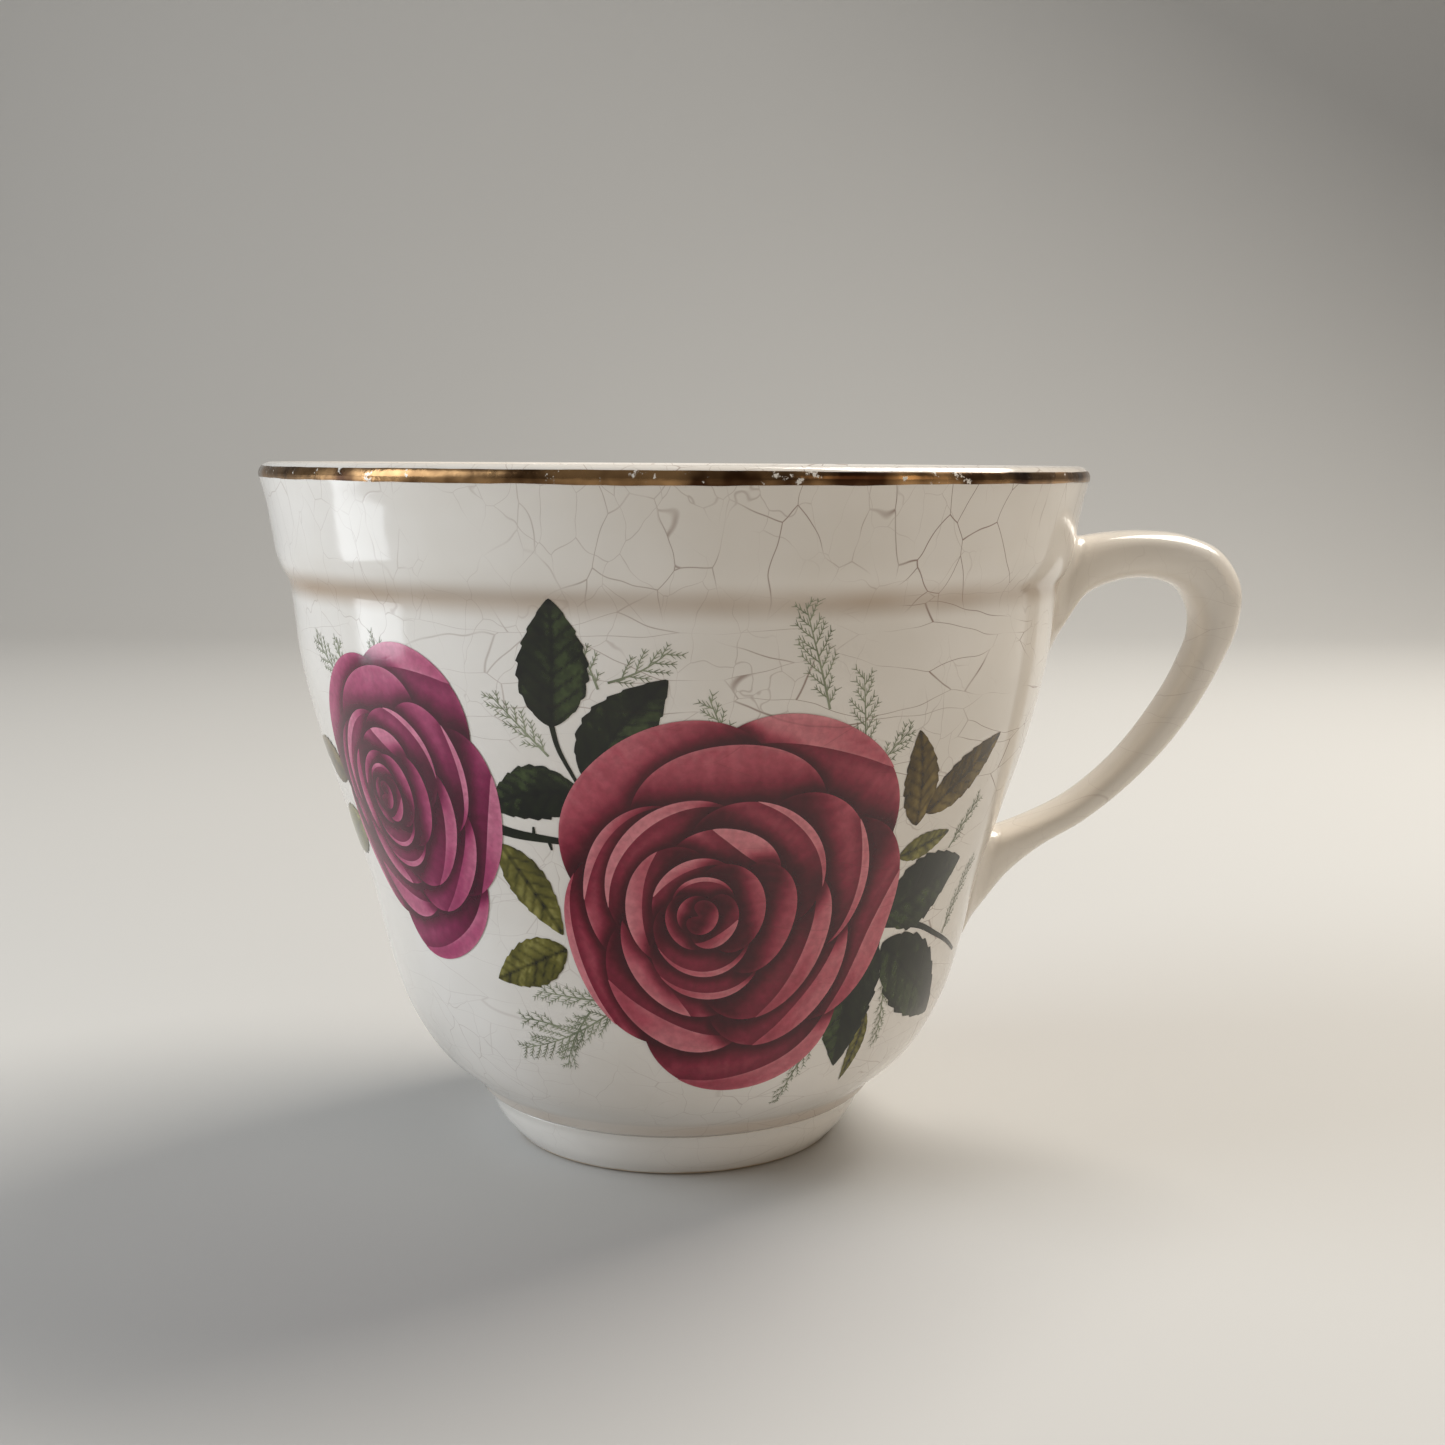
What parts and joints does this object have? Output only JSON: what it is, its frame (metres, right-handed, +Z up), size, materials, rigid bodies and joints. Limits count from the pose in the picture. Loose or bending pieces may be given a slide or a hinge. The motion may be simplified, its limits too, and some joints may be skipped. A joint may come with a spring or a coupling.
{
  "type": "teacup",
  "caption": "Earthenware teacup with a collared bowl, foot ring, strap handle, gilt line round the lip and rose transfers.",
  "frame": {"origin": "on the cup's axis, in the plane that the foot ring rests on", "axes": "+Z up along the cup's axis, +X towards the handle, -Y the side that faces outwards when a right hand holds it"},
  "size_m": [0.1031, 0.0858, 0.0715],
  "materials": {
    "glazed_body": "glossy crazed clear glaze over off-white earthenware",
    "slip_joint": "glossy glaze over the slip that lutes the handle",
    "gold": "worn burnished gilding",
    "rose_transfer": "glossy, under the glaze",
    "side_rose_transfer": "glossy, under the glaze",
    "leaf_transfer": "glossy, under the glaze",
    "fern_transfer": "glossy, under the glaze"
  },
  "bodies": {
    "root": {"bowl": "glazed_body", "foot_ring": "glazed_body", "handle": "glazed_body", "upper_handle_joint": "slip_joint", "lower_handle_joint": "slip_joint", "gilt_rim_line": "gold", "front_large_rose_print": "rose_transfer", "front_side_rose_print": "side_rose_transfer", "front_leaf_print": "leaf_transfer", "front_fern_print": "fern_transfer", "back_large_rose_print": "rose_transfer", "back_side_rose_print": "side_rose_transfer", "back_leaf_print": "leaf_transfer", "back_fern_print": "fern_transfer"}
  },
  "joints": []
}
